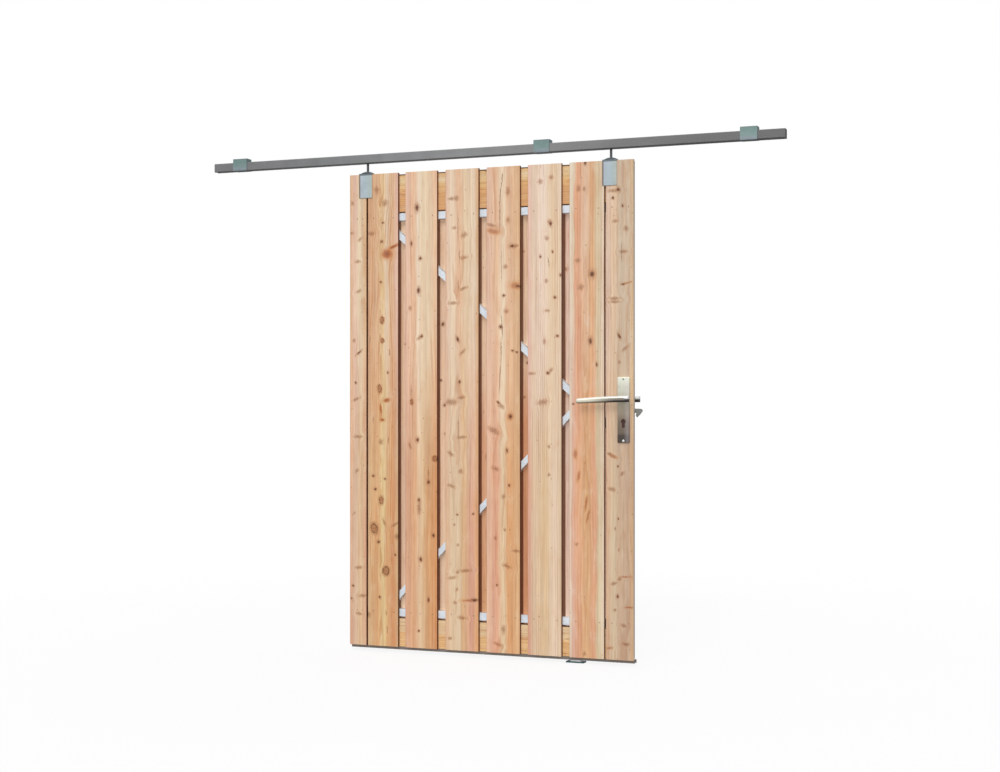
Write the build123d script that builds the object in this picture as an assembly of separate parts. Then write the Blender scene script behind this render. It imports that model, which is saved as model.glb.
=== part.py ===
from build123d import *
import math
import os

# Sliding garden gate: a wooden leaf on a steel frame, hung on two trolleys
# from a C-shaped top rail, with a floor guide, a lever handle and a hook lock.
# Millimetres, +Z up, +X along the rail, front face towards -Y.
# Origin: centre of the flat top face of the middle rail bracket.

# ---------------------------------------------------------------- driving dimensions
# heights
ground_z = -2019.0
rail_top = -15.0
rail_h = 35.0
rail_w = 35.0
rail_wall = 2.5
rail_slot = 14.0
rail_x0, rail_x1 = -1455.5, 944.5          # 2400 mm of rail

# rail brackets: saddles welded over the rail
bracket_x = {"left": -1332.5, "middle": 0.0, "right": 809.7}
bracket_len = 64.0
bracket_t = 3.0
bracket_hole_r = 4.0                       # tapped M8
bracket_hole_depth = 12.0
bracket_hole_pitch = 36.0

# leaf
leaf_x0, leaf_x1 = -823.5, 369.5           # 1193 mm
leaf_top, leaf_bottom = -96.0, -1996.0     # 1900 mm
front_y = -18.0
board_t = 16.0
frame_t = 30.0
inset = 12.0                               # front boards lap past the frame at both sides
edge_r = 2.0
front_boards = [
    (-823.5, -749.0),
    (-742.0, -609.0),
    (-577.0, -439.0),
    (-403.0, -262.0),
    (-228.0, -88.5),
    (-56.0, 82.0),
    (114.3, 254.0),
    (261.0, 369.5),
]

# steel frame
bar_h = 30.0
stile_left_w = 35.0
stile_right_w = 60.0
tube_wall = 2.5
top_bar_z0 = -287.0
bottom_bar_z0 = -1876.0
brace_w_vertical = 32.0                    # measured upright, 24 mm square to the brace
brace_upper = ((-589.5, -364.0), -0.871)   # a point on the centre line, slope
brace_lower = ((-591.5, -1770.0), 1.010)

# wooden cross battens
top_batten = (-252.0, -101.0)
bottom_batten = (-1996.0, -1883.0)

# guide channel under the leaf, floor guide
channel_h = 13.0
channel_in = 20.0
channel_wall = 2.0
guide_x = 131.0
guide_len, guide_depth, guide_t = 74.0, 40.0, 4.0
fin_len, fin_t, fin_top = 44.0, 10.0, -2003.0
guide_hole_r = 3.25
guide_hole_pitch = 58.0

# hangers and trolleys
hanger_x = {"left": -751.0, "right": 276.0}
hanger_w, hanger_h, hanger_t = 57.0, 100.0, 4.0
cap_h, cap_wall = 9.5, 3.0                 # shallow dome over each rod nut
stud_r = 4.0
studs = {"left": [(-769.0, -125.0), (-733.0, -165.0)],
         "right": [(267.0, -125.0), (283.0, -165.0)]}
rod_r = 5.0
wheel_r, wheel_w = 12.0, 6.0
wheel_gap = 0.3                            # running gap between wheel and rail
truck_len = 76.0

# lock and handle
spindle_x, spindle_z = 332.0, -1004.0
plate_x0, plate_x1 = 308.5, 355.5
plate_z0, plate_z1 = -1171.0, -921.0
plate_t = 8.0
cyl_z = -1089.0
lever_tip_x, lever_end_x = 155.0, 365.5
lever_y = 36.0                             # lever axis in front of the plate
lever_t = 18.0
case_z0, case_z1 = -1145.0, -965.0
face_z0, face_z1 = -1160.0, -932.0
hook_px, hook_pz = 328.0, -1052.0          # hook pivot
hook_t = 8.0
hook_swing = 24.0

# derived planes across the leaf
y_front_back = front_y + board_t           # back of the front boards, -2
y_frame_back = y_front_back + frame_t      # 28
y_back = y_frame_back + board_t            # 44
mid_y = (front_y + y_back) / 2             # 13
fx0, fx1 = leaf_x0 + inset, leaf_x1 - inset

os.makedirs("parts", exist_ok=True)


# ---------------------------------------------------------------- helpers
def block(x0, x1, y0, y1, z0, z1):
    return Pos((x0 + x1) / 2, (y0 + y1) / 2, (z0 + z1) / 2) * Box(x1 - x0, y1 - y0, z1 - z0)


def rod_y(x, z, r, y0, y1):
    return Pos(x, (y0 + y1) / 2, z) * Rot(90, 0, 0) * Cylinder(r, y1 - y0)


def rod_z(x, y, r, z0, z1):
    return Pos(x, y, (z0 + z1) / 2) * Cylinder(r, z1 - z0)


def slab_y(pts, y0, y1):
    """Outline in X and Z, made solid from y0 to y1."""
    wire = Polyline(*[(x, z) for x, z in pts], close=True)
    face = Plane(origin=(0, y1, 0), x_dir=(1, 0, 0), z_dir=(0, -1, 0)) * make_face(wire)
    return extrude(face, amount=y1 - y0)


def slab_x(pts, x0, x1):
    """Outline in Y and Z, made solid from x0 to x1."""
    wire = Polyline(*[(y, z) for y, z in pts], close=True)
    face = Plane(origin=(x0, 0, 0), x_dir=(0, 1, 0), z_dir=(1, 0, 0)) * make_face(wire)
    return extrude(face, amount=x1 - x0)


def hex_z(x, y, af, z0, z1, hole_r):
    body = Pos(x, y, z0) * extrude(RegularPolygon(af / math.sqrt(3), 6), amount=z1 - z0)
    return body - rod_z(x, y, hole_r, z0 - 1, z1 + 1)


def hex_y(x, z, af, y0, y1, hole_r):
    face = Plane(origin=(x, y1, z), x_dir=(1, 0, 0), z_dir=(0, -1, 0)) * RegularPolygon(af / math.sqrt(3), 6)
    return extrude(face, amount=y1 - y0) - rod_y(x, z, hole_r, y0 - 1, y1 + 1)


def one(shape):
    """The single solid of a shape."""
    s = shape.solids()
    assert len(s) == 1, f"{len(s)} solids"
    return s[0]


def along(shape, axis, pick=None):
    edges = shape.edges().filter_by(axis)
    return edges.filter_by(pick) if pick else edges


def save(name, shape):
    export_step(shape, f"parts/{name}.step")


def board(x0, x1, y0, y1, z0=leaf_bottom, z1=leaf_top):
    b = block(x0, x1, y0, y1, z0, z1)
    return fillet(b.edges().filter_by(Axis.Z), edge_r)


def euro(x, z, y0, y1, grow=0.0):
    """Profile cylinder: a round barrel with a narrow tail below it."""
    barrel = rod_y(x, z, 8.5 + grow, y0, y1)
    tail = block(x - 5 - grow, x + 5 + grow, y0, y1, z - 19.5, z)
    toe = rod_y(x, z - 19.5, 5 + grow, y0, y1)
    return barrel + tail + toe


# ---------------------------------------------------------------- rail, rolled C section
rz0, rz1 = rail_top - rail_h, rail_top
hw = rail_w / 2
rail = block(rail_x0, rail_x1, -hw, hw, rz0, rz1)
rail = fillet(rail.edges().filter_by(Axis.X), 3.0)
rail -= block(rail_x0 - 1, rail_x1 + 1, -hw + rail_wall, hw - rail_wall, rz0 + rail_wall, rz1 - rail_wall)
rail -= block(rail_x0 - 1, rail_x1 + 1, -rail_slot / 2, rail_slot / 2, rz0 - 1, rz0 + rail_wall + 1)
save("rail", one(rail))

# stops closing both ends of the track
for side, a, b in (("left", rail_x0, rail_x0 + 30), ("right", rail_x1 - 30, rail_x1)):
    stop = block(a, b, -hw + rail_wall, hw - rail_wall, rz0 + rail_wall, rz1 - rail_wall)
    save(f"rail_stop_{side}", one(stop))

# ---------------------------------------------------------------- rail brackets
bo = hw + bracket_t                        # outer half depth
for side, x in bracket_x.items():
    a, b = x - bracket_len / 2, x + bracket_len / 2
    outer = block(a, b, -bo, bo, rz0, 0)
    outer = fillet(outer.edges().filter_by(Axis.X).filter_by(lambda e: e.center().Z > -1), 3.0)
    br = outer - block(a - 1, b + 1, -hw, hw, rz0 - 1, rail_top)
    for dx in (-bracket_hole_pitch / 2, bracket_hole_pitch / 2):
        br -= rod_z(x + dx, 0, bracket_hole_r, -bracket_hole_depth, 1)
    save(f"rail_bracket_{side}", one(br))

# ---------------------------------------------------------------- floor guide
plate = block(guide_x - guide_len / 2, guide_x + guide_len / 2, mid_y - guide_depth / 2, mid_y + guide_depth / 2,
              ground_z, ground_z + guide_t)
plate = fillet(plate.edges().filter_by(Axis.Z), 6.0)
for dx in (-guide_hole_pitch / 2, guide_hole_pitch / 2):
    plate -= rod_z(guide_x + dx, mid_y, guide_hole_r, ground_z - 1, ground_z + guide_t + 1)
save("floor_guide_plate", one(plate))
fin = block(guide_x - fin_len / 2, guide_x + fin_len / 2, mid_y - fin_t / 2, mid_y + fin_t / 2,
            ground_z + guide_t, fin_top)
fin = fillet(fin.edges().filter_by(Axis.Z), 4.5)
fin = fillet(fin.faces().sort_by(Axis.Z)[-1].edges(), 1.5)
save("floor_guide_fin", one(fin))

# ---------------------------------------------------------------- boards
stud_holes = None
for pts in studs.values():
    for x, z in pts:
        h = rod_y(x, z, stud_r + 0.5, front_y - 1, y_back + 1)
        stud_holes = h if stud_holes is None else stud_holes + h
spindle_hole = rod_y(spindle_x, spindle_z, 10.0, front_y - 1, y_back + 1)
cyl_hole = euro(spindle_x, cyl_z, front_y - 1, y_back + 1, 0.8)

for i, (a, b) in enumerate(front_boards, 1):
    f = board(a, b, front_y, y_front_back)
    if i in (1, 2, 8):
        f -= stud_holes
    if i == 8:
        f = f - spindle_hole - cyl_hole
    save(f"front_board_{i}", one(f))

# the same boards turned round close the gaps from behind
mirror_sum = leaf_x0 + leaf_x1
backs = []
for a, b in reversed(front_boards):
    c, d = max(mirror_sum - b, fx0), min(mirror_sum - a, fx1)
    k = board(c, d, y_frame_back, y_back)
    k = k - stud_holes
    if d > spindle_x:
        k = k - spindle_hole - cyl_hole
    backs.append(one(k))
save("back_boards", Compound(children=backs))

# ---------------------------------------------------------------- cross battens
for name, (z0, z1) in (("top_batten", top_batten), ("bottom_batten", bottom_batten)):
    t = block(fx0, fx1, y_front_back, y_frame_back, z0, z1)
    if name == "top_batten":
        t -= stud_holes
    save(name, one(t))

# ---------------------------------------------------------------- welded steel frame
def tube(x0, x1, z0, z1, lengthwise):
    w = tube_wall
    outer = block(x0, x1, y_front_back, y_frame_back, z0, z1)
    outer = fillet(outer.edges().filter_by(Axis.X if lengthwise == "x" else Axis.Z), 2.0)
    if lengthwise == "x":
        core = block(x0 + w, x1 - w, y_front_back + w, y_frame_back - w, z0 + w, z1 - w)
    else:
        core = block(x0 + w, x1 - w, y_front_back + w, y_frame_back - w, z0 - 1, z1 + 1)
    return outer - core


# the bars have closed ends and a drain hole in the underside
for name, z0 in (("frame_top_bar", top_bar_z0), ("frame_bottom_bar", bottom_bar_z0)):
    t = tube(fx0, fx1, z0, z0 + bar_h, "x")
    t -= rod_z(-421.0, mid_y, 4.0, z0 - 1, z0 + tube_wall + 1)
    save(name, one(t))

iz0, iz1 = bottom_bar_z0 + bar_h, top_bar_z0        # clear height inside the frame
save("frame_stile_left", one(tube(fx0, fx0 + stile_left_w, iz0, iz1, "z")))
stile = tube(fx1 - stile_right_w, fx1, iz0, iz1, "z")
stile = stile - block(fx1 - tube_wall - 0.5, fx1 + 1, mid_y - 12, mid_y + 12, face_z0, face_z1)
stile = stile - rod_y(spindle_x, spindle_z, 9.0, y_front_back - 1, y_frame_back + 1)
stile = stile - euro(spindle_x, cyl_z, y_front_back - 1, y_frame_back + 1, 0.8)
save("frame_stile_right", one(stile))

ix0, ix1 = fx0 + stile_left_w, fx1 - stile_right_w


def strip(point, slope, half, x0, x1, y0, y1):
    (px, pz) = point
    za, zb = pz + slope * (x0 - px), pz + slope * (x1 - px)
    return slab_y([(x0, za - half), (x1, zb - half), (x1, zb + half), (x0, za + half)], y0, y1)


inside = block(ix0, ix1, y_front_back - 1, y_frame_back + 1, iz0, iz1)
half = brace_w_vertical / 2
thin = half - tube_wall / math.cos(math.atan(0.94))
up_outer = strip(*brace_upper, half, ix0 - 80, ix1 + 80, y_front_back, y_frame_back)
up_inner = strip(*brace_upper, thin, ix0 - 80, ix1 + 80, y_front_back + tube_wall, y_frame_back - tube_wall)
save("frame_brace_upper", one((up_outer & inside) - up_inner))

(ux, uz), us = brace_upper
# everything on or above the upper brace's lower edge
xa, xb = ix0 - 400, ix1 + 400
above = slab_y([(xa, uz + us * (xa - ux) - half), (xb, uz + us * (xb - ux) - half), (xb, 0), (xa, 0)],
               y_front_back - 5, y_frame_back + 5)
lo_outer = strip(*brace_lower, half, ix0 - 80, ix1 + 80, y_front_back, y_frame_back)
lo_inner = strip(*brace_lower, thin, ix0 - 80, ix1 + 80, y_front_back + tube_wall, y_frame_back - tube_wall)
save("frame_brace_lower", one(((lo_outer & inside) - above) - lo_inner))

# ---------------------------------------------------------------- guide channel under the leaf
cw = channel_in / 2 + channel_wall
ch = block(leaf_x0, leaf_x1, mid_y - cw, mid_y + cw, leaf_bottom - channel_h, leaf_bottom)
ch -= block(leaf_x0 - 1, leaf_x1 + 1, mid_y - channel_in / 2, mid_y + channel_in / 2,
            leaf_bottom - channel_h - 1, leaf_bottom - channel_wall)
save("guide_channel", one(ch))

# ---------------------------------------------------------------- hangers
rod_nuts, back_nuts, caps = [], [], []
tab_top = leaf_top + hanger_t
for side, x in hanger_x.items():
    a, b = x - hanger_w / 2, x + hanger_w / 2
    yf = front_y - hanger_t
    angle = slab_x([(yf, tab_top - hanger_h), (front_y, tab_top - hanger_h), (front_y, leaf_top),
                    (0, leaf_top), (0, tab_top), (yf, tab_top)], a, b)
    corner = [e for e in angle.edges().filter_by(Axis.X)
              if abs(e.center().Y - yf) < 0.01 and abs(e.center().Z - tab_top) < 0.01]
    angle = fillet(corner, 3.5)
    angle = angle + (rod_z(x, 0, hanger_w / 2, leaf_top, tab_top) & block(a, b, 0, 40, leaf_top, tab_top))
    angle -= rod_z(x, 0, rod_r + 0.5, leaf_top - 1, tab_top + 1)
    for sx, sz in studs[side]:
        angle += rod_y(sx, sz, stud_r, front_y - 0.5, y_back + 14)
        washer = rod_y(sx, sz, 7.5, y_back, y_back + 1.5) - rod_y(sx, sz, stud_r + 0.1, y_back - 1, y_back + 3)
        nut = hex_y(sx, sz, 13.0, y_back + 1.5, y_back + 8.0, stud_r + 0.1)
        back_nuts.append(one(washer + nut))
    save(f"hanger_{side}", one(angle))
    rod_nuts.append(one(hex_z(x, 0, 17.0, tab_top, tab_top + 6.0, rod_r + 0.1)))
    # dome over the nut, cut flush with the plate in front
    ball = ((hanger_w / 2) ** 2 + cap_h ** 2) / (2 * cap_h)
    cap = Pos(x, 0, tab_top + cap_h - ball) * Sphere(ball)
    cap = cap & block(x - 40, x + 40, yf, 40, tab_top, 0)
    cap -= rod_z(x, 0, 11.0, tab_top - 1, tab_top + cap_h - cap_wall)
    cap -= rod_z(x, 0, rod_r + 0.1, tab_top - 1, 0)
    caps.append(one(cap))

    # trolley: a block with an axle at each end and four wheels, all inside the rail
    wz = rz0 + rail_wall + wheel_gap + wheel_r
    truck = block(x - truck_len / 2, x + truck_len / 2, -6, 6, rz0 + 6, rz0 + 24)
    truck = fillet(truck.edges().filter_by(Axis.Y), 4.0)
    for wx in (x - 22, x + 22):
        truck += rod_y(wx, wz, 3.0, -14, 14)
        for s in (-1, 1):
            y0, y1 = sorted((s * 7.5, s * (7.5 + wheel_w)))
            wheel = rod_y(wx, wz, wheel_r, y0, y1)
            truck += wheel
    rod_head = rz0 + 20.0
    truck -= rod_z(x, 0, rod_r + 0.1, rz0, rod_head)
    save(f"trolley_{side}", one(truck))
    save(f"hanger_rod_{side}", one(rod_z(x, 0, rod_r, leaf_top, rod_head)))
save("hanger_rod_nuts", Compound(children=rod_nuts))
save("hanger_back_nuts", Compound(children=back_nuts))
save("hanger_caps", Compound(children=caps))

# ---------------------------------------------------------------- lock in the right stile
case = block(302, 354.5, y_front_back + tube_wall, y_frame_back - tube_wall, case_z0, case_z1)
case -= block(303.5, 356, y_front_back + tube_wall + 1.5, y_frame_back - tube_wall - 1.5, case_z0 + 1.5, case_z1 - 1.5)
case -= rod_y(spindle_x, spindle_z, 9.0, y_front_back - 1, y_frame_back + 1)
case -= euro(spindle_x, cyl_z, y_front_back - 1, y_frame_back + 1, 0.5)
save("lock_case", one(case))

face = block(354.5, fx1, mid_y - 12, mid_y + 12, face_z0, face_z1)
face -= block(350, fx1 + 5, mid_y - 9, mid_y + 9, -1062.5, -1021.0)
for z in (face_z0 + 7.5, face_z1 - 7.5):
    face -= Pos(356, mid_y, z) * Rot(0, 90, 0) * Cylinder(2.2, 10)
save("lock_face_plate", one(face))

save("lock_cylinder", one(euro(spindle_x, cyl_z, front_y - plate_t - 3, y_back + plate_t + 3)
                          - block(spindle_x - 0.9, spindle_x + 0.9, front_y - plate_t - 4, front_y - plate_t + 6, cyl_z - 5, cyl_z + 4)
                          - block(spindle_x - 0.9, spindle_x + 0.9, y_back + plate_t - 6, y_back + plate_t + 4, cyl_z - 5, cyl_z + 4)))
save("hook_pin", one(rod_y(hook_px, hook_pz, 4.0, y_front_back + tube_wall + 1.5, y_frame_back - tube_wall - 1.5)))

# hook bolt: an eye on the pin, an arm through the face plate, an arrow-shaped barb
hook_outline = [(hook_px - 4, hook_pz + 11), (384, hook_pz + 11), (393, hook_pz + 9), (397, hook_pz + 3),
                (386, hook_pz - 12), (375, hook_pz - 22), (371, hook_pz - 16), (373, hook_pz - 5.5),
                (hook_px, hook_pz - 5.5)]
hook = slab_y(hook_outline, mid_y - hook_t / 2, mid_y + hook_t / 2)
hook += rod_y(hook_px, hook_pz, 12.0, mid_y - hook_t / 2, mid_y + hook_t / 2)
hook -= rod_y(hook_px, hook_pz, 4.08, mid_y - 10, mid_y + 10)
save("hook_bolt", one(hook))

# ---------------------------------------------------------------- handle plates and levers
for side, sgn, face_y in (("front", -1, front_y), ("back", 1, y_back)):
    y0, y1 = sorted((face_y, face_y + sgn * plate_t))
    p = block(plate_x0, plate_x1, y0, y1, plate_z0, plate_z1)
    p = fillet(p.edges().filter_by(Axis.Y), 3.5)
    outer_face = p.faces().sort_by(Axis.Y)[0 if sgn < 0 else -1]
    p = fillet(outer_face.edges(), 2.5)
    p -= rod_y(spindle_x, spindle_z, 7.0, y0 - 1, y1 + 1)
    p -= euro(spindle_x, cyl_z, y0 - 1, y1 + 1, 0.4)
    save(f"handle_plate_{side}", one(p))

# lever: a nearly straight bar that droops a little to its blunt tip, on a round neck
ya = y_back + plate_t + lever_y                           # lever axis
z = spindle_z
with BuildSketch(Plane(origin=(0, ya + lever_t / 2, 0), x_dir=(1, 0, 0), z_dir=(0, -1, 0))) as sk:
    with BuildLine():
        top = Spline((lever_end_x, z + 11.0), (290, z + 9.5), (220, z + 6.0), (lever_tip_x + 9, z + 1.8))
        tip = ThreePointArc(top @ 1, (lever_tip_x, z - 8.2), (lever_tip_x + 9, z - 18.0))
        low = Spline(tip @ 1, (220, z - 16.0), (290, z - 13.8), (lever_end_x, z - 12.5))
        Line(low @ 1, top @ 0)
    make_face()
bar = extrude(sk.sketch, amount=lever_t)
bar = fillet(bar.faces().sort_by(Axis.Y)[0].edges() + bar.faces().sort_by(Axis.Y)[-1].edges(), 8.0)
lever = bar + rod_y(spindle_x, spindle_z, 8.5, y_back + plate_t + 1.0, ya)
lever -= block(spindle_x - 4, spindle_x + 4, y_back, ya, spindle_z - 4, spindle_z + 4)
save("lever_back", one(lever))
# the front lever is the same one on the other face
save("lever_front", one(mirror(lever, about=Plane(origin=(0, mid_y, 0), x_dir=(1, 0, 0), z_dir=(0, 1, 0)))))

save("lever_spindle", one(block(spindle_x - 4, spindle_x + 4, front_y - plate_t - lever_y, y_back + plate_t + lever_y,
                                spindle_z - 4, spindle_z + 4)))
print("done")
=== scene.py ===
import math
import random

import bmesh
import bpy
from mathutils import Matrix, Vector


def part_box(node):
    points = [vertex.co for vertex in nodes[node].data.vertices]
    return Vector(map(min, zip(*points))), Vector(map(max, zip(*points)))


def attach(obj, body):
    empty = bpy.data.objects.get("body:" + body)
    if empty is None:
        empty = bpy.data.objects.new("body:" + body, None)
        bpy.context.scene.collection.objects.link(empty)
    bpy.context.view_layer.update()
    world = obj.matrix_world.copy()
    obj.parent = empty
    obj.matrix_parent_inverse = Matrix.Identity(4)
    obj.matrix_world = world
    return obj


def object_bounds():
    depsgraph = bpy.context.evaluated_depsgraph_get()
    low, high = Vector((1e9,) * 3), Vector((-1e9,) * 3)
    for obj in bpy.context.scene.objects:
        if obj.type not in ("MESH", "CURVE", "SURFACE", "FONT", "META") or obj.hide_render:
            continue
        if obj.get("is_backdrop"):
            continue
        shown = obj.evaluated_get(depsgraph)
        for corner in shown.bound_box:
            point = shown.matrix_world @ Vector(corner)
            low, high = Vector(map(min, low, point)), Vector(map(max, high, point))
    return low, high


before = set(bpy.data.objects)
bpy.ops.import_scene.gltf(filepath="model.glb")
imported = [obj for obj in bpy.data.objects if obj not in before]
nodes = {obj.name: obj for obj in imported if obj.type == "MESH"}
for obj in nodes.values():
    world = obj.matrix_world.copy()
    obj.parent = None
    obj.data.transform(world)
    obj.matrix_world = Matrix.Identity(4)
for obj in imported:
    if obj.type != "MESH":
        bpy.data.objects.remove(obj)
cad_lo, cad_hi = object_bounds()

random.seed(11)

# ---------------------------------------------------------------- camera
cam_data = bpy.data.cameras.new("camera")
cam_data.lens = 56.7
cam_data.sensor_width = 36.0
cam_data.shift_y = 0.02
cam_data.clip_end = 200.0
cam = bpy.data.objects.new("camera", cam_data)
cam.location = (2.034, -5.763, -1.031)
cam.rotation_euler = (math.radians(90), 0, math.radians(21))
bpy.context.scene.collection.objects.link(cam)
bpy.context.scene.camera = cam
bpy.context.scene.view_settings.view_transform = "Standard"
bpy.context.scene.view_settings.look = "None"

# ---------------------------------------------------------------- named tones, sRGB 0-255
TONES = {
    "cream": (238, 217, 186), "pale": (230, 206, 170), "yellow": (229, 202, 158), "green": (222, 205, 166),
    "pink": (229, 190, 164), "rose": (226, 172, 145), "peach": (231, 190, 154), "tan": (221, 180, 137),
    "brown": (211, 166, 124), "orange": (224, 170, 122), "salmon": (229, 165, 126), "gold": (227, 194, 142),
    "grey_tan": (211, 180, 150), "deep": (213, 148, 104), "batten": (227, 180, 118), "batten_low": (218, 164, 108),
}


def lin(c):
    out = []
    for v in c:
        v = v / 255.0
        out.append(v / 12.92 if v <= 0.04045 else ((v + 0.055) / 1.055) ** 2.4)
    return (*out, 1.0)


def tone(t):
    return lin(TONES[t]) if isinstance(t, str) else lin(t)


# ---------------------------------------------------------------- node building
class Tree:
    def __init__(self, name):
        self.mat = bpy.data.materials.new(name)
        self.mat.use_nodes = True
        self.t = self.mat.node_tree
        self.t.nodes.clear()
        self.out = self.t.nodes.new("ShaderNodeOutputMaterial")
        self.bsdf = self.t.nodes.new("ShaderNodeBsdfPrincipled")
        self.t.links.new(self.bsdf.outputs[0], self.out.inputs[0])

    def new(self, kind, **props):
        n = self.t.nodes.new(kind)
        for k, v in props.items():
            setattr(n, k, v)
        return n

    def put(self, sock, v):
        if isinstance(v, bpy.types.NodeSocket):
            self.t.links.new(v, sock)
        elif v is not None:
            if hasattr(sock.default_value, "__len__"):
                if not hasattr(v, "__len__"):
                    v = (v,) * len(sock.default_value)
                if len(sock.default_value) == 4 and len(v) == 3:
                    v = (*v, 1.0)
                sock.default_value = v
            else:
                sock.default_value = v

    def m(self, op, a, b=None, c=None, clamp=False):
        n = self.new("ShaderNodeMath", operation=op, use_clamp=clamp)
        for i, v in enumerate((a, b, c)):
            self.put(n.inputs[i], v)
        return n.outputs[0]

    def v(self, op, a, b=None, c=None, s=None):
        n = self.new("ShaderNodeVectorMath", operation=op)
        for i, x in enumerate((a, b, c)):
            self.put(n.inputs[i], x)
        if s is not None:
            self.put(n.inputs["Scale"], s)
        return n.outputs["Value"] if op in ("LENGTH", "DOT_PRODUCT", "DISTANCE") else n.outputs["Vector"]

    def xyz(self, vec):
        n = self.new("ShaderNodeSeparateXYZ")
        self.put(n.inputs[0], vec)
        return n.outputs[0], n.outputs[1], n.outputs[2]

    def vec(self, x, y, z):
        n = self.new("ShaderNodeCombineXYZ")
        for i, a in enumerate((x, y, z)):
            self.put(n.inputs[i], a)
        return n.outputs[0]

    def noise(self, vec, scale=1.0, detail=2.0, rough=0.5, dist=0.0, color=False):
        n = self.new("ShaderNodeTexNoise")
        self.put(n.inputs["Vector"], vec)
        n.inputs["Scale"].default_value = scale
        n.inputs["Detail"].default_value = detail
        n.inputs["Roughness"].default_value = rough
        n.inputs["Distortion"].default_value = dist
        return n.outputs["Color"] if color else n.outputs["Fac"]

    def voronoi(self, vec, scale=1.0, feature="F1"):
        n = self.new("ShaderNodeTexVoronoi", feature=feature)
        self.put(n.inputs["Vector"], vec)
        n.inputs["Scale"].default_value = scale
        return n

    def ramp(self, fac, stops, interp="LINEAR"):
        n = self.new("ShaderNodeValToRGB")
        cr = n.color_ramp
        cr.interpolation = interp
        for e, (p, c) in ((cr.elements[0], stops[0]), (cr.elements[1], stops[-1])):
            e.position = p
            e.color = c if len(c) == 4 else (*c, 1.0)
        for p, c in stops[1:-1]:
            cr.elements.new(p).color = c if len(c) == 4 else (*c, 1.0)
        self.put(n.inputs[0], fac)
        return n.outputs[0]

    def mr(self, val, a, b, c, d, kind="SMOOTHSTEP"):
        n = self.new("ShaderNodeMapRange", interpolation_type=kind)
        n.clamp = kind == "LINEAR"          # a smooth step never leaves its range
        for i, x in enumerate((val, a, b, c, d)):
            self.put(n.inputs[i], x)
        return n.outputs[0]

    def mix(self, fac, a, b, mode="MIX"):
        n = self.new("ShaderNodeMix", data_type="RGBA", blend_type=mode)
        self.put(n.inputs[0], fac)
        self.put(n.inputs[6], a)
        self.put(n.inputs[7], b)
        return n.outputs[2]

    def mm(self):
        """Object coordinates in millimetres, and the object-space normal."""
        tc = self.new("ShaderNodeTexCoord")
        return self.v("SCALE", tc.outputs["Object"], s=1000.0), tc.outputs["Normal"]

    def bump(self, height, dist, strength=1.0):
        n = self.new("ShaderNodeBump")
        self.put(n.inputs["Height"], height)
        n.inputs["Distance"].default_value = dist
        n.inputs["Strength"].default_value = strength
        return n.outputs[0]

    def finish(self, color, rough=0.5, metallic=0.0, normal=None, specular=0.5):
        b = self.bsdf
        self.put(b.inputs["Base Color"], color)
        self.put(b.inputs["Roughness"], rough)
        b.inputs["Metallic"].default_value = metallic
        b.inputs["Specular IOR Level"].default_value = specular
        if normal is not None:
            self.put(b.inputs["Normal"], normal)
        return self.mat


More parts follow.
